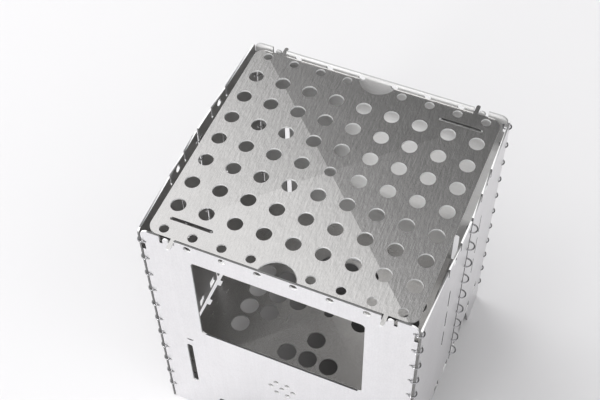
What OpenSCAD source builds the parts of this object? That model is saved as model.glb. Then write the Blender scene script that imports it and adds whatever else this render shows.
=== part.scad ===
// Folding rocket stove: a flat-pack box of stainless sheet for burning twigs.
// Six wall sheets are laced together with wire rings, a perforated cooking
// plate locks the top and a perforated grate stands above the legs.
// Frame: millimetres, +Z up, front (feed window) towards -Y, +X to the right.
// The origin is on the ground, in the middle of the box.

/* [Body] */
// Outside width of the box over the side walls
body_w = 190; // [186:0.2:196]
// Outside depth of the box over the front and back panels
body_d = 176.8; // [174:0.2:180]
// Height of the front and back panels
panel_h = 225; // [223:0.5:230]
// Height of the side walls
side_h = 223; // [218:0.5:223]
// Thickness of the wall sheets
wall_t = 1.2; // [0.8:0.1:1.2]
// Gap between each end of the front panel and the side wall
end_gap = 0.8; // [0.4:0.1:1.2]
// Radius of the top corners of the front and back panels
panel_r = 5; // [2:0.5:7]
// Angle by which each half side wall bows outwards when set up
bow = 1.4; // [0:0.1:2.5]

/* [Legs] */
// Height of the arch between the legs of the side walls
arch_h = 41; // [30:1:44]
// Height of the arch between the legs of the front and back panels
panel_arch_h = 25; // [15:1:38]
// Half width of the arch at the ground
arch_foot = 63.4; // [58:0.2:66]
// Half width of the side arch at its top
arch_top = 45.2; // [36:0.2:50]

/* [Feed window] */
// Width of the window in the front panel
window_w = 118.4; // [90:0.2:124]
// Height of the window
window_h = 88; // [60:1:92]
// Height of the window sill above the ground
window_z = 118.6; // [112:0.2:122]
// Corner radius of the window
window_r = 3; // [1:0.5:8]

/* [Panel openings] */
// Diameter of the six holes along the top of the front and back panels
top_hole_d = 5.2; // [3:0.1:6]
// Height of the row of top holes
top_hole_z = 221.2; // [218:0.1:221.4]
// Spacing of the top holes
top_hole_step = 24; // [20:0.5:26]
// Distance of each upright slot from the middle of the panel
slot_x = 71.3; // [66:0.1:76]
// Width of the upright slots
slot_w = 4.4; // [2:0.1:6]
// Bottom of the upright slots
slot_z0 = 40.2; // [36:0.2:60]
// Top of the upright slots
slot_z1 = 94.8; // [80:0.2:96]
// Top of the short upright slot at the right of the back panel
short_slot_z1 = 76; // [65:0.5:94]
// Diameter of the seven vent holes below the window
vent_d = 4; // [2:0.1:5]

/* [Side wall openings] */
// Distance of the upright air slits from the middle of the wall
slit_y = 32; // [28:0.1:38]
// Width of the air slits
slit_w = 2; // [1:0.1:3]
// Length of each air slit
slit_h = 20.6; // [12:0.2:22]
// Step from one air slit to the next one down
slit_step = 25.6; // [24:0.2:27]
// Side of the square air holes above the legs
square_s = 8; // [5:0.2:9]
// Spacing of the square air holes
square_step = 18.4; // [16:0.2:19]

/* [Cooking plate] */
// Width of the cooking plate
plate_w = 180.4; // [174:0.2:182]
// Depth of the cooking plate
plate_d = 170.8; // [166:0.2:172]
// Thickness of the cooking plate
plate_t = 1.5; // [1:0.1:2]
// Height of the plate's upper face at its front and back edges
plate_z = 222.4; // [222:0.1:223.5]
// Rise of the plate's middle above its edge
plate_rise = 2.6; // [1:0.1:5]
// Spacing of the holes
pitch = 20; // [19:0.1:20.4]
// Diameter of the large holes
hole_d = 10.5; // [6:0.1:13]
// Diameter of the middle hole
mid_hole_d = 8; // [4:0.1:10]
// Diameter of the holes in the front and back rows
edge_hole_d = 6.6; // [3:0.1:7.4]
// Radius of the finger notches
finger_r = 13.4; // [8:0.2:14]

/* [Fire grate] */
// Width of the grate
grate_w = 183.2; // [176:0.2:184]
// Depth of the grate
grate_d = 170; // [164:0.5:171]
// Thickness of the grate
grate_t = 1.5; // [1:0.1:2]
// Height of the grate's upper face at its front and back edges
grate_z = 45.6; // [45:0.1:50]
// Rise of the grate's middle above its edge
grate_rise = 2.2; // [1:0.1:4]
// Diameter of the draught holes
draught_d = 14.2; // [8:0.2:15]

/* [Rings] */
// Radius of each corner ring, to the middle of the wire
ring_r = 2.8; // [2.7:0.1:3.2]
// Radius of each ring at the middle of the side walls, to the middle of the wire
middle_ring_r = 3.3; // [3.3:0.1:3.6]
// Diameter of the ring wire
wire_d = 1; // [0.8:0.1:1.1]
// Diameter of the holes that the rings pass through
lace_d = 2.6; // [2.2:0.1:2.7]
// Number of rings down each corner
corner_rings = 11; // [7:1:11]
// Spacing of the corner rings
corner_step = 19.2; // [18:0.1:19.4]
// Height of the highest ring at the two left corners
left_ring_z = 213; // [212:0.1:214]
// Height of the highest ring at the two right corners
right_ring_z = 217.2; // [215:0.1:218]
// Number of rings down the middle of each side wall
middle_rings = 9; // [5:1:9]
// Spacing of the middle rings
middle_step = 19.5; // [17:0.1:19.5]

/* [Hidden] */
$fn = 48;
e = 0.01;
half_w = body_w / 2;
half_d = body_d / 2;
inset = 0.5;                                  // hinge axis to sheet face
axis_x = half_w - wall_t - inset;             // corner hinge axis
axis_y = half_d - wall_t - inset;
across = wall_t + 2 * inset;                  // corner axis to middle axis, across the sheet
half_l = (axis_y + across * sin(bow)) / cos(bow); // corner axis to middle axis, along the sheet
middle_x = axis_x + across * cos(bow) + half_l * sin(bow); // middle hinge axis
lace = sqrt(ring_r * ring_r - pow(inset + wall_t / 2, 2)); // corner axis to hole, along a sheet
middle_lace = sqrt(middle_ring_r * middle_ring_r - pow(inset + wall_t / 2, 2)); // middle axis to hole
middle_gap = 1.4;                             // half of the gap at the middle hinge
end_x = half_w - wall_t - end_gap;            // end of the front panel
middle_z = 213.8;                             // highest middle ring
notch_in = 69;                                // lock notch, inner side
notch_out = 79.4;                             // lock notch, outer side
tongue_in = 73;
tongue_out = 77.2;
notch_floor = 218.5;                          // floor of the outer slit
tab_floor = plate_z - plate_t - 0.25;         // floor under the plate's tab
panel_arch_top = arch_foot - (arch_foot - arch_top) * panel_arch_h / arch_h; // same slope as the side arch
tab_x = (notch_in + tongue_in) / 2;
tab_w = 2.8;
tab_end = half_d + 4.8;
slit_top = 186;                               // top of the highest air slit
square_z = 48.2;                              // middle of the square holes

// ---- plane shapes -------------------------------------------------------

// Rectangle with round corners, from (x0, y0) to (x1, y1)
module rounded(x0, y0, x1, y1, r) {
    translate([x0 + r, y0]) square([x1 - x0 - 2 * r, y1 - y0]);
    translate([x0, y0 + r]) square([x1 - x0, y1 - y0 - 2 * r]);
    for (x = [x0 + r, x1 - r], y = [y0 + r, y1 - r]) translate([x, y]) circle(r);
}

// Slot with round ends, upright, centred on x
module upright_slot(x, z0, z1, w) {
    translate([x - w / 2, z0 + w / 2]) square([w, z1 - z0 - w]);
    translate([x, z0 + w / 2]) circle(d = w);
    translate([x, z1 - w / 2]) circle(d = w);
}

// Front and back panel outline, without openings
module panel_blank() {
    difference() {
        union() {
            translate([-end_x, 0]) square([2 * end_x, panel_h - panel_r]);
            translate([-end_x + panel_r, 0]) square([2 * (end_x - panel_r), panel_h]);
            for (s = [-1, 1]) translate([s * (end_x - panel_r), panel_h - panel_r]) circle(panel_r);
        }
        polygon([[-arch_foot, -1], [-arch_foot, 0], [-panel_arch_top, panel_arch_h],
                 [panel_arch_top, panel_arch_h], [arch_foot, 0], [arch_foot, -1]]);
    }
}

// Notch at the top of a panel that takes a tab of the cooking plate, with
// the tongue that bends over it
module lock_notch() {
    difference() {
        union() {
            translate([notch_in, tab_floor]) square([tongue_in - notch_in + e, panel_h]);
            translate([tongue_in, notch_floor]) square([notch_out - tongue_in, panel_h]);
        }
        translate([tongue_in, notch_floor - 1]) square([tongue_out - tongue_in, panel_h - 1.5 - notch_floor - 1.1]);
        translate([(tongue_in + tongue_out) / 2, panel_h - 3.6]) circle(d = tongue_out - tongue_in);
    }
}

// Openings that the front and back panels share
module panel_openings() {
    for (s = [0, 1]) mirror([s, 0]) {
        lock_notch();
        // lacing holes
        top = s == 0 ? right_ring_z : left_ring_z;
        for (i = [0 : corner_rings - 1])
            translate([axis_x - lace, top - i * corner_step]) circle(d = lace_d);
        // window at the end, below the first ring
        translate([end_x - 2.4, top - 8.3]) square([5, 6.4]);
    }
    for (i = [-2.5 : 1 : 2.5]) translate([i * top_hole_step, top_hole_z]) circle(d = top_hole_d);
    upright_slot(-slot_x, slot_z0, slot_z1, slot_w);
}

// Half side wall, laid out from the corner hinge axis at x = 0 to the middle
// hinge axis at x = half_l; top is the height of its highest corner ring
module side_sheet(top) {
    y_of = axis_y;
    difference() {
        union() {
            translate([-inset - 1, 0]) square([half_l - middle_gap + inset + 1, side_h - 3]);
            translate([-inset + 2, 0]) square([half_l - middle_gap + inset - 2, side_h]);
            translate([-inset + 2, side_h - 3]) circle(3);
        }
        polygon([[y_of - arch_foot, -1], [y_of - arch_foot, 0], [y_of - arch_top, arch_h],
                 [half_l + 1, arch_h], [half_l + 1, -1]]);
        for (i = [0 : corner_rings - 1])
            translate([lace, top - i * corner_step]) circle(d = lace_d);
        for (i = [0 : middle_rings - 1])
            translate([half_l - middle_lace, middle_z - i * middle_step]) circle(d = lace_d);
        // two slits and a hole that free a bending tab at the top edge
        for (y = [20.6, 42]) {
            translate([y_of - y - slit_w / 2, side_h - 8]) square([slit_w, 10]);
            translate([y_of - y, side_h - 8]) circle(d = slit_w);
        }
        translate([y_of - 31.2, side_h - 4.4]) circle(d = 5.6);
        for (i = [0 : 2])
            upright_slot(y_of - slit_y, slit_top - slit_h - i * slit_step, slit_top - i * slit_step, slit_w);
        for (i = [0 : 3])
            translate([y_of - square_step * (i + 0.5) - square_s / 2, square_z - square_s / 2]) square(square_s);
    }
}

// ---- solids --------------------------------------------------------------

// A plane shape in x and z, as a sheet whose outer face is at y = -half_d
module stand_sheet() {
    translate([0, -half_d + wall_t, 0]) rotate([90, 0, 0]) linear_extrude(wall_t) children();
}

// Half side wall of the right rear quarter; the others are its mirror images
module half_wall(top) {
    translate([axis_x, axis_y, 0]) rotate([0, 0, bow]) translate([inset, 0, 0])
        rotate([90, 0, -90]) translate([0, 0, -wall_t]) linear_extrude(wall_t) side_sheet(top);
}

// Space between two shallow pyramids, t apart: the form of a cross-broken
// sheet with its creases at 45 degrees. Its upper face is at z at the
// distance half from the middle, and at z + rise in the middle.
module cross_broken(half, z, rise, t) {
    difference() {
        pyramid(half, z, rise);
        translate([0, 0, -t]) pyramid(half, z, rise);
    }
}

module pyramid(half, z, rise) {
    far = 130;
    low = z - rise * (far - half) / half;
    outline = [[-far, z - 20], [-far, low], [0, z + rise], [far, low], [far, z - 20]];
    intersection() {
        translate([0, far, 0]) rotate([90, 0, 0]) linear_extrude(2 * far) polygon(outline);
        translate([-far, 0, 0]) rotate([90, 0, 90]) linear_extrude(2 * far) polygon(outline);
    }
}

module plate_outline() {
    difference() {
        union() {
            rounded(-plate_w / 2, -plate_d / 2, plate_w / 2, plate_d / 2, 7.4);
            for (sx = [-1, 1], sy = [0, 1]) mirror([0, sy]) {
                translate([sx * tab_x - tab_w / 2, plate_d / 2 - 2]) square([tab_w, tab_end - plate_d / 2 + 2 - tab_w / 2]);
                translate([sx * tab_x, tab_end - tab_w / 2]) circle(d = tab_w);
            }
        }
        for (i = [-4 : 4], j = [-3 : 3])
            translate([i * pitch, j * pitch]) circle(d = (i == 0 && j == 0) ? mid_hole_d : hole_d);
        for (i = [1 : 4], sx = [-1, 1], sy = [-1, 1])
            translate([sx * i * pitch, sy * 4 * pitch]) circle(d = edge_hole_d);
        for (s = [-1, 1]) translate([0, s * half_d]) circle(finger_r);
        // narrow slots near two opposite corners
        for (a = [0, 180]) rotate([0, 0, a])
            rounded(-80.3, -72.4, -49.9, -70, 1.19);
    }
}

module grate_outline() {
    difference() {
        rounded(-grate_w / 2, -grate_d / 2, grate_w / 2, grate_d / 2, 10);
        circle(d = mid_hole_d);
        for (a = [0, 90, 180, 270]) rotate([0, 0, a])
            for (k = [1 : 3], m = [1 - k : k - 1])
                translate([8.6 + 17.2 * k, 16.8 * m]) circle(d = draught_d);
        // notches in the side edges
        for (sx = [0, 1], sy = [0, 1], y = [6.2, 25]) mirror([sx, 0]) mirror([0, sy])
            translate([grate_w / 2 - 2.6, y - 2.7]) square([5, 5.4]);
        // clearance slot at the right rear corner
        upright_slot(71.5, 44, 80, 2);
    }
}

// Rings a to b of a hinge line at (x, y), of radius r; the butt of each ring is
// at angle turn
module ring_line(x, y, r, top, step, a, b, turn) {
    for (i = [a : b]) translate([x, y, top - i * step]) rotate([0, 0, turn + 6])
        rotate_extrude(angle = 348) translate([r, 0]) circle(d = wire_d, $fn = 20);
}

module corner_ring_line(sx, sy, a, b) {
    color([0.75, 0.76, 0.77])
        ring_line(sx * axis_x, sy * axis_y, ring_r, sx > 0 ? right_ring_z : left_ring_z, corner_step, a, b, atan2(-sy, -sx));
}

module middle_ring_line(sx, a, b) {
    color([0.75, 0.76, 0.77])
        ring_line(sx * middle_x, 0, middle_ring_r, middle_z, middle_step, a, b, sx > 0 ? 180 : 0);
}

// ---- nodes ---------------------------------------------------------------

module front_panel() {
    color([0.93, 0.93, 0.93]) stand_sheet() difference() {
        panel_blank();
        panel_openings();
        upright_slot(slot_x, slot_z0, slot_z1, slot_w);
        rounded(-window_w / 2, window_z, window_w / 2, window_z + window_h, window_r);
        // plain vent of seven holes
        translate([0, 79]) {
            circle(d = vent_d);
            for (a = [0 : 60 : 300]) rotate(a) translate([8.4, 0]) circle(d = vent_d);
        }
        // short cross slit above the left slot
        translate([-slot_x + 1.3, 102.6]) rotate(90) upright_slot(0, -2.6, 2.6, 1.5);
    }
}

module back_panel() {
    color([0.80, 0.80, 0.80]) rotate([0, 0, 180]) stand_sheet() mirror([1, 0]) difference() {
        panel_blank();
        panel_openings();
        upright_slot(slot_x, slot_z0, short_slot_z1, slot_w);
        upright_slot(-slot_x, 120, 146, slot_w);
    }
}

module right_rear_panel() color([0.82, 0.82, 0.83]) half_wall(right_ring_z);
module right_front_panel() color([0.84, 0.84, 0.85]) mirror([0, 1, 0]) half_wall(right_ring_z);
module left_rear_panel() color([0.55, 0.55, 0.56]) mirror([1, 0, 0]) half_wall(left_ring_z);
module left_front_panel() color([0.55, 0.55, 0.56]) mirror([1, 0, 0]) mirror([0, 1, 0]) half_wall(left_ring_z);

module cooking_plate() {
    color([0.66, 0.66, 0.66]) intersection() {
        cross_broken(plate_d / 2, plate_z, plate_rise, plate_t);
        translate([0, 0, plate_z - 10]) linear_extrude(20) plate_outline();
    }
}

module fire_grate() {
    color([0.48, 0.48, 0.48]) intersection() {
        cross_broken(grate_d / 2, grate_z, grate_rise, grate_t);
        translate([0, 0, grate_z - 10]) linear_extrude(20) grate_outline();
    }
}

upper_corner = ceil(corner_rings / 2);
upper_middle = ceil(middle_rings / 2);

module front_left_rings_upper() corner_ring_line(-1, -1, 0, upper_corner - 1);
module front_left_rings_lower() corner_ring_line(-1, -1, upper_corner, corner_rings - 1);
module front_right_rings_upper() corner_ring_line(1, -1, 0, upper_corner - 1);
module front_right_rings_lower() corner_ring_line(1, -1, upper_corner, corner_rings - 1);
module back_left_rings_upper() corner_ring_line(-1, 1, 0, upper_corner - 1);
module back_left_rings_lower() corner_ring_line(-1, 1, upper_corner, corner_rings - 1);
module back_right_rings_upper() corner_ring_line(1, 1, 0, upper_corner - 1);
module back_right_rings_lower() corner_ring_line(1, 1, upper_corner, corner_rings - 1);
module left_middle_rings_upper() middle_ring_line(-1, 0, upper_middle - 1);
module left_middle_rings_lower() middle_ring_line(-1, upper_middle, middle_rings - 1);
module right_middle_rings_upper() middle_ring_line(1, 0, upper_middle - 1);
module right_middle_rings_lower() middle_ring_line(1, upper_middle, middle_rings - 1);

front_panel();
back_panel();
left_front_panel();
left_rear_panel();
right_front_panel();
right_rear_panel();
cooking_plate();
fire_grate();
front_left_rings_upper();
front_left_rings_lower();
front_right_rings_upper();
front_right_rings_lower();
back_left_rings_upper();
back_left_rings_lower();
back_right_rings_upper();
back_right_rings_lower();
left_middle_rings_upper();
left_middle_rings_lower();
right_middle_rings_upper();
right_middle_rings_lower();
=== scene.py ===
import bpy, bmesh, math, random
from mathutils import Vector, Matrix

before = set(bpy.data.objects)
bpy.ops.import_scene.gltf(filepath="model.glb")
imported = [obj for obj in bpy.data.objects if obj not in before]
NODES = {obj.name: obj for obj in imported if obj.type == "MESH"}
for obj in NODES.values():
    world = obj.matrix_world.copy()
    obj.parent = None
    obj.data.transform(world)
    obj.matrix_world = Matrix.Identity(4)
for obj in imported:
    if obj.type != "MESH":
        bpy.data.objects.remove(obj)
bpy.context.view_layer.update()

scene = bpy.context.scene
scene.view_settings.view_transform = "Standard"
scene.view_settings.look = "None"
scene.view_settings.exposure = 0.0
scene.view_settings.gamma = 1.0


# ---------------------------------------------------------------- node helpers
class Tree:
    def __init__(self, tree):
        self.t = tree
        self.x = 0

    def new(self, kind, **inputs):
        n = self.t.nodes.new(kind)
        self.x += 40
        n.location = (self.x, 0)
        for k, v in inputs.items():
            self.set(n, k, v)
        return n

    def set(self, n, key, v):
        sock = n.inputs[int(key[1:])] if key.startswith("i") and key[1:].isdigit() else n.inputs[key.replace("_", " ")]
        if isinstance(v, bpy.types.NodeSocket):
            self.t.links.new(v, sock)
        else:
            sock.default_value = v

    def math(self, op, a, b=0.0, c=None, clamp=False):
        n = self.new("ShaderNodeMath")
        n.operation = op
        n.use_clamp = clamp
        self.set(n, "i0", a)
        self.set(n, "i1", b)
        if c is not None:
            self.set(n, "i2", c)
        return n.outputs[0]

    def ramp(self, v, lo, hi, a=0.0, b=1.0, smooth=True):
        n = self.new("ShaderNodeMapRange")
        n.interpolation_type = "SMOOTHSTEP" if smooth else "LINEAR"
        n.clamp = True
        for k, val in zip(range(5), (v, lo, hi, a, b)):
            self.set(n, "i%d" % k, val)
        return n.outputs[0]

    def noise(self, vec, scale, detail=2.0, rough=0.5, dist=0.0):
        n = self.new("ShaderNodeTexNoise")
        self.set(n, "Vector", vec)
        self.set(n, "Scale", scale)
        self.set(n, "Detail", detail)
        self.set(n, "Roughness", rough)
        self.set(n, "Distortion", dist)
        return n.outputs["Fac"]

    def scaled(self, vec, s):
        n = self.new("ShaderNodeVectorMath")
        n.operation = "MULTIPLY"
        self.set(n, "i0", vec)
        self.set(n, "i1", s)
        return n.outputs[0]

    def mixc(self, fac, a, b):
        n = self.new("ShaderNodeMix")
        n.data_type = "RGBA"
        n.inputs[0].default_value = 0.5
        for key, v in (("Factor", fac),):
            if isinstance(v, bpy.types.NodeSocket):
                self.t.links.new(v, n.inputs[0])
            else:
                n.inputs[0].default_value = v
        for idx, v in ((6, a), (7, b)):
            if isinstance(v, bpy.types.NodeSocket):
                self.t.links.new(v, n.inputs[idx])
            else:
                n.inputs[idx].default_value = (*v, 1.0)
        return n.outputs[2]


def steel(name, flat, grain, tint, rough, inner_shade=None, inner_rough=None, inner_metal=1.0,
          aniso=0.55, lip=(0.95, 0.95, 0.95), lip_metal=0.15, grit=1.0, tone=1.0, fleck=0.06,
          upright_lip_shade=None):
    """Brushed stainless sheet. flat is the axis (0, 1, 2) square to the sheet and grain the
    axis along which the brush ran. inner_shade, if given, is a painted shade: the darker tint of faces that look to
    the inside of the box; lip is the tint of the matt sheared edges, and upright_lip_shade a painted shade on the
    upright ones. grit scales the relief of the grain and tone its colour variation; fleck is the mottle of single
    scratches."""
    m = bpy.data.materials.new(name)
    m.use_nodes = True
    t = Tree(m.node_tree)
    m.node_tree.nodes.clear()
    out = t.new("ShaderNodeOutputMaterial")
    bsdf = t.new("ShaderNodeBsdfPrincipled")
    m.node_tree.links.new(bsdf.outputs[0], out.inputs[0])
    tc = t.new("ShaderNodeTexCoord")
    P = tc.outputs["Object"]
    N = tc.outputs["Normal"]

    def along(across, length):
        v = [across] * 3
        v[grain] = length
        return t.scaled(P, tuple(v))

    g1 = t.noise(along(1500.0, 60.0), 1.0, 3.0, 0.6)
    g2 = t.noise(along(420.0, 12.0), 1.0, 2.0, 0.55)
    g3 = t.noise(along(90.0, 3.0), 1.0, 2.0, 0.5)
    grit1 = t.noise(along(980.0, 420.0), 1.0, 2.0, 0.7)
    grit2 = t.noise(along(560.0, 150.0), 1.0, 1.0, 0.5)
    cloud = t.noise(P, 16.0, 3.0, 0.55, 0.3)
    smear = t.noise(P, 55.0, 4.0, 0.62, 0.6)
    grainsum = t.math("ADD", t.math("MULTIPLY", g1, 0.55), t.math("MULTIPLY", g2, 0.45))
    # colour
    val = t.math("ADD", 1.0 - 0.5 * 0.14 * tone, t.math("MULTIPLY", grainsum, 0.14 * tone))
    val = t.math("ADD", val, t.math("MULTIPLY", t.math("SUBTRACT", g3, 0.5), 0.05 * tone))
    val = t.math("ADD", val, t.math("MULTIPLY", t.math("SUBTRACT", cloud, 0.5), 0.05 * tone))
    val = t.math("ADD", val, t.math("MULTIPLY", t.math("SUBTRACT", grit1, 0.5), 0.10 * tone))
    mottle = t.noise(along(1150.0, 620.0), 1.0, 1.0, 0.5)
    val = t.math("ADD", val, t.math("MULTIPLY", t.math("SUBTRACT", mottle, 0.5), fleck))
    col = t.mixc(t.ramp(smear, 0.35, 0.75, 0.0, 0.35), tint, tuple(c * 0.95 for c in tint))
    inside = None
    if inner_shade is not None:
        dotn = t.new("ShaderNodeVectorMath")
        dotn.operation = "DOT_PRODUCT"
        t.set(dotn, "i0", t.scaled(N, (1.0, 1.0, 0.0)))
        t.set(dotn, "i1", t.scaled(P, (10.0, 10.0, 0.0)))
        inside = t.ramp(dotn.outputs["Value"], -0.02, 0.02, 1.0, 0.0)
        # painted shade: faces that look to the inside of the box take the darker inner tint
        col = t.mixc(inside, col, inner_shade)
    sep = t.new("ShaderNodeSeparateXYZ")
    t.set(sep, "i0", N)
    edge = t.ramp(t.math("ABSOLUTE", sep.outputs[flat]), 0.25, 0.75, 1.0, 0.0)
    rim = lip
    # painted shade: upright sheared edges take a darker tint than the edges that face up
    if upright_lip_shade is not None:
        rim = t.mixc(t.ramp(t.math("ABSOLUTE", sep.outputs[2]), 0.3, 0.8), upright_lip_shade, lip)
    col = t.mixc(edge, col, rim)
    hsv = t.new("ShaderNodeHueSaturation")
    t.set(hsv, "Value", val)
    t.set(hsv, "Color", col)
    t.set(bsdf, "Base Color", hsv.outputs[0])
    metal = 1.0
    if inside is not None and inner_metal < 1.0:
        metal = t.math("SUBTRACT", 1.0, t.math("MULTIPLY", inside, 1.0 - inner_metal))
    metal = t.math("MULTIPLY", metal, t.ramp(edge, 0.0, 1.0, 1.0, lip_metal, smooth=False))
    t.set(bsdf, "Metallic", metal)
    r = t.math("ADD", rough - 0.04, t.math("MULTIPLY", grainsum, 0.08))
    r = t.math("ADD", r, t.math("MULTIPLY", t.ramp(smear, 0.45, 0.8), 0.05))
    r = t.math("ADD", r, t.math("MULTIPLY", cloud, 0.03))
    if inside is not None and inner_rough is not None:
        r = t.math("ADD", r, t.math("MULTIPLY", inside, inner_rough - rough))
    r = t.math("ADD", r, t.math("MULTIPLY", edge, 0.25))
    t.set(bsdf, "Roughness", r)
    t.set(bsdf, "Anisotropic", aniso)
    # the tangent lies across the grain, in the sheet
    cross = t.new("ShaderNodeVectorMath")
    cross.operation = "CROSS_PRODUCT"
    gv = [0.0, 0.0, 0.0]
    gv[grain] = 1.0
    t.set(cross, "i0", N)
    t.set(cross, "i1", tuple(gv))
    vt = t.new("ShaderNodeVectorTransform")
    vt.vector_type = "VECTOR"
    vt.convert_from = "OBJECT"
    vt.convert_to = "WORLD"
    t.set(vt, "i0", cross.outputs[0])
    t.set(bsdf, "Tangent", vt.outputs[0])
    # relief: fine grit, the grain itself, and the slight waviness of thin sheet
    b1 = t.new("ShaderNodeBump")
    t.set(b1, "Strength", 1.0)
    t.set(b1, "Distance", 0.00002 * grit)
    t.set(b1, "Height", t.math("ADD", t.math("MULTIPLY", grit1, 0.5), grit2))
    b2 = t.new("ShaderNodeBump")
    t.set(b2, "Strength", 1.0)
    t.set(b2, "Distance", 0.000012 * grit)
    t.set(b2, "Height", t.math("ADD", t.math("MULTIPLY", g1, 0.6), t.math("MULTIPLY", g2, 0.4)))
    m.node_tree.links.new(b1.outputs[0], b2.inputs["Normal"])
    wavy = t.new("ShaderNodeBump")
    t.set(wavy, "Strength", 0.05)
    t.set(wavy, "Distance", 0.004)
    t.set(wavy, "Height", t.noise(P, 12.0, 1.0, 0.4))
    m.node_tree.links.new(b2.outputs[0], wavy.inputs["Normal"])
    t.set(bsdf, "Normal", wavy.outputs[0])
    return m


def wire(name, tint, rough):
    m = bpy.data.materials.new(name)
    m.use_nodes = True
    t = Tree(m.node_tree)
    m.node_tree.nodes.clear()
    out = t.new("ShaderNodeOutputMaterial")
    bsdf = t.new("ShaderNodeBsdfPrincipled")
    m.node_tree.links.new(bsdf.outputs[0], out.inputs[0])
    tc = t.new("ShaderNodeTexCoord")
    P = tc.outputs["Object"]
    n1 = t.noise(P, 900.0, 3.0, 0.6)
    n2 = t.noise(P, 160.0, 2.0, 0.5)
    col = t.mixc(t.ramp(n2, 0.4, 0.7), tint, tuple(c * 0.82 for c in tint))
    t.set(bsdf, "Base Color", col)
    t.set(bsdf, "Metallic", 1.0)
    t.set(bsdf, "Roughness", t.math("ADD", rough, t.math("MULTIPLY", n1, 0.12)))
    b = t.new("ShaderNodeBump")
    t.set(b, "Strength", 0.15)
    t.set(b, "Distance", 0.0001)
    t.set(b, "Height", n1)
    t.set(bsdf, "Normal", b.outputs[0])
    return m


M_FRONT = steel("steel_front", 1, 2, (0.81, 0.804, 0.815), 0.34, inner_shade=(0.50, 0.495, 0.49), grit=0.4, fleck=0.10,
                upright_lip_shade=(0.45, 0.45, 0.45))
M_BACK = steel("steel_back", 1, 0, (0.84, 0.835, 0.84), 0.34, inner_shade=(0.80, 0.795, 0.79),
               inner_rough=0.45, inner_metal=0.7, aniso=0.8, grit=0.6,
               lip=(0.5, 0.5, 0.5), lip_metal=0.4, upright_lip_shade=(0.3, 0.3, 0.3))
# painted shade: the side panels carry a darker steel tint than the front and back panels
M_SIDE_SHADED = steel("steel_side", 0, 2, (0.72, 0.712, 0.722), 0.34, inner_shade=(0.46, 0.455, 0.45), grit=0.5,
               upright_lip_shade=(0.14, 0.14, 0.14))
M_PLATE = steel("steel_plate", 2, 1, (0.83, 0.818, 0.810), 0.17, aniso=0.3, lip=(0.8, 0.8, 0.8), lip_metal=0.2,
                grit=3.4, tone=0.8, fleck=0.09)
M_GRATE = steel("steel_grate", 2, 1, (0.62, 0.61, 0.60), 0.22, aniso=0.4, lip=(0.4, 0.4, 0.4), lip_metal=0.4,
                grit=0.9, tone=0.9, fleck=0.34)
# painted shade: the ring wire carries a darker tint than bare steel
M_WIRE_SHADED = wire("ring_wire", (0.40, 0.40, 0.41), 0.10)

LOOKS = {"front_panel": M_FRONT, "back_panel": M_BACK, "cooking_plate": M_PLATE, "fire_grate": M_GRATE}
for name, obj in NODES.items():
    if "rings" in name:
        mat = M_WIRE_SHADED
    else:
        mat = LOOKS.get(name, M_SIDE_SHADED)
    if not obj.material_slots:
        obj.data.materials.append(mat)
    for s in obj.material_slots:
        s.material = mat
    if "rings" in name:
        continue
    # sheared edges of the sheet are slightly broken
    bev = obj.modifiers.new("edge", "BEVEL")
    bev.width = 0.00016
    bev.segments = 2
    bev.limit_method = "ANGLE"
    bev.angle_limit = math.radians(50)
    bev.harden_normals = True

# ---------------------------------------------------------------- floor
def floor():
    me = bpy.data.meshes.new("floor")
    bm = bmesh.new()
    s = 4.0
    vs = [bm.verts.new((x * s, y * s, 0.0)) for x, y in ((-1, -1), (1, -1), (1, 1), (-1, 1))]
    bm.faces.new(vs)
    bm.to_mesh(me)
    bm.free()
    o = bpy.data.objects.new("floor", me)
    scene.collection.objects.link(o)
    m = bpy.data.materials.new("floor")
    m.use_nodes = True
    b = m.node_tree.nodes["Principled BSDF"]
    # painted shadow: the pale board is painted softly darker in the enclosed space under the stove, in place of the
    # real shade there
    t = Tree(m.node_tree)
    fc = t.new("ShaderNodeTexCoord")
    fx = t.new("ShaderNodeSeparateXYZ")
    t.set(fx, "i0", fc.outputs["Object"])
    mx = t.ramp(t.math("ABSOLUTE", fx.outputs[0]), 0.082, 0.092, 1.0, 0.0)
    my = t.ramp(t.math("ABSOLUTE", fx.outputs[1]), 0.078, 0.086, 1.0, 0.0)
    under_shade_mask = t.math("MULTIPLY", mx, my)
    # painted shade: the board under the stove is lighter towards -X and darker towards +X
    shade_falloff_x = t.ramp(fx.outputs[0], -0.05, 0.03, 0.0, 1.0)
    painted_under_shade = t.mixc(shade_falloff_x, (0.26, 0.255, 0.255), (0.085, 0.083, 0.082))
    t.set(b, "Base Color", t.mixc(under_shade_mask, (0.72, 0.715, 0.725), painted_under_shade))
    b.inputs["Roughness"].default_value = 0.9
    b.inputs["Specular IOR Level"].default_value = 0.15
    me.materials.append(m)
    return o


floor()

# ---------------------------------------------------------------- light
world = bpy.data.worlds.new("studio")
scene.world = world
world.use_nodes = True
wt = Tree(world.node_tree)
world.node_tree.nodes.clear()
wout = wt.new("ShaderNodeOutputWorld")
bg = wt.new("ShaderNodeBackground")
world.node_tree.links.new(bg.outputs[0], wout.inputs[0])
wtc = wt.new("ShaderNodeTexCoord")
sd = wt.new("ShaderNodeVectorMath")
sd.operation = "DOT_PRODUCT"
wt.set(sd, "i0", wtc.outputs["Generated"])
wt.set(sd, "i1", (0.5, 1.0, 0.0))
# the plate looks up at this part of the studio, which falls off to the back
steps = ((-1.0, 0.92), (0.30, 0.92), (0.34, 0.88), (0.38, 0.70), (0.42, 0.49), (0.46, 0.355), (0.50, 0.26),
         (0.55, 0.20), (0.60, 0.145), (0.70, 0.09), (1.2, 0.09))
lvl = steps[0][1]
for (a, fa), (b, fb) in zip(steps, steps[1:]):
    if fa != fb:
        lvl = wt.math("ADD", lvl, wt.ramp(sd.outputs["Value"], a, b, 0.0, fb - fa, smooth=False))
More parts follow.
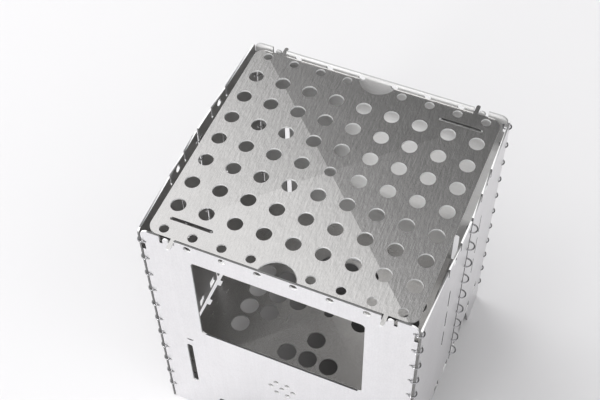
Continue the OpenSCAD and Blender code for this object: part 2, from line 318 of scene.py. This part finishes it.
# the front of the studio is brighter
lvl = wt.math("ADD", lvl, wt.ramp(sd.outputs["Value"], -0.45, 0.15, 0.45, 0.0))
# little light comes from near the horizon
wsep = wt.new("ShaderNodeSeparateXYZ")
wt.set(wsep, "i0", wtc.outputs["Generated"])
lvl = wt.math("MULTIPLY", lvl, wt.ramp(wsep.outputs[2], 0.0, 0.35, 0.35, 1.0))
comb = wt.new("ShaderNodeCombineColor")
for i in range(3):
    wt.set(comb, "i%d" % i, lvl)
wt.set(bg, "Color", comb.outputs[0])
bg.inputs["Strength"].default_value = 1.0


def area(name, loc, target, sx, sy, power, color=(1, 1, 1), spread=180):
    l = bpy.data.lights.new(name, "AREA")
    l.shape = "RECTANGLE"
    l.size, l.size_y = sx, sy
    l.energy = power
    l.color = color
    l.spread = math.radians(spread)
    o = bpy.data.objects.new(name, l)
    scene.collection.objects.link(o)
    o.location = loc
    d = Vector(target) - Vector(loc)
    o.rotation_mode = "QUATERNION"
    o.rotation_quaternion = d.to_track_quat("-Z", "Y")
    return o


# the key is a large overhead softbox that only the matt floor and the sheared edges take
key = area("key_left", (-2.0, 0.3, 1.6), (0.0, 0.0, 0.1), 3.2, 3.2, 47.0)
key.visible_glossy = False
fill = area("fill_right", (2.0, 0.25, 1.5), (0.1, 0.0, 0.0), 2.4, 2.4, 13.0)
fill.visible_glossy = False
# a low light in front shines through the feed window on to the back panel
area("low_front", (-0.42, -1.6, 0.33), (0.0, 0.1, 0.16), 0.30, 0.12, 8.6)

# ---------------------------------------------------------------- camera
cam_d = bpy.data.cameras.new("camera")
cam = bpy.data.objects.new("camera", cam_d)
scene.collection.objects.link(cam)
cam_d.sensor_width = 36.0
cam_d.lens = 69.0
R = ((0.91877, 0.39441, -0.01753), (0.30722, -0.74214, -0.59568), (-0.24795, 0.54191, -0.80303))
right, down, fwd = (Vector(r).normalized() for r in R)
m3 = Matrix((right, -down, -fwd)).transposed()
cam.matrix_world = Matrix.Translation(Vector((0.17237, -0.42492, 0.81224))) @ m3.to_4x4()
cam_d.clip_start = 0.01
cam_d.clip_end = 50.0
scene.camera = cam
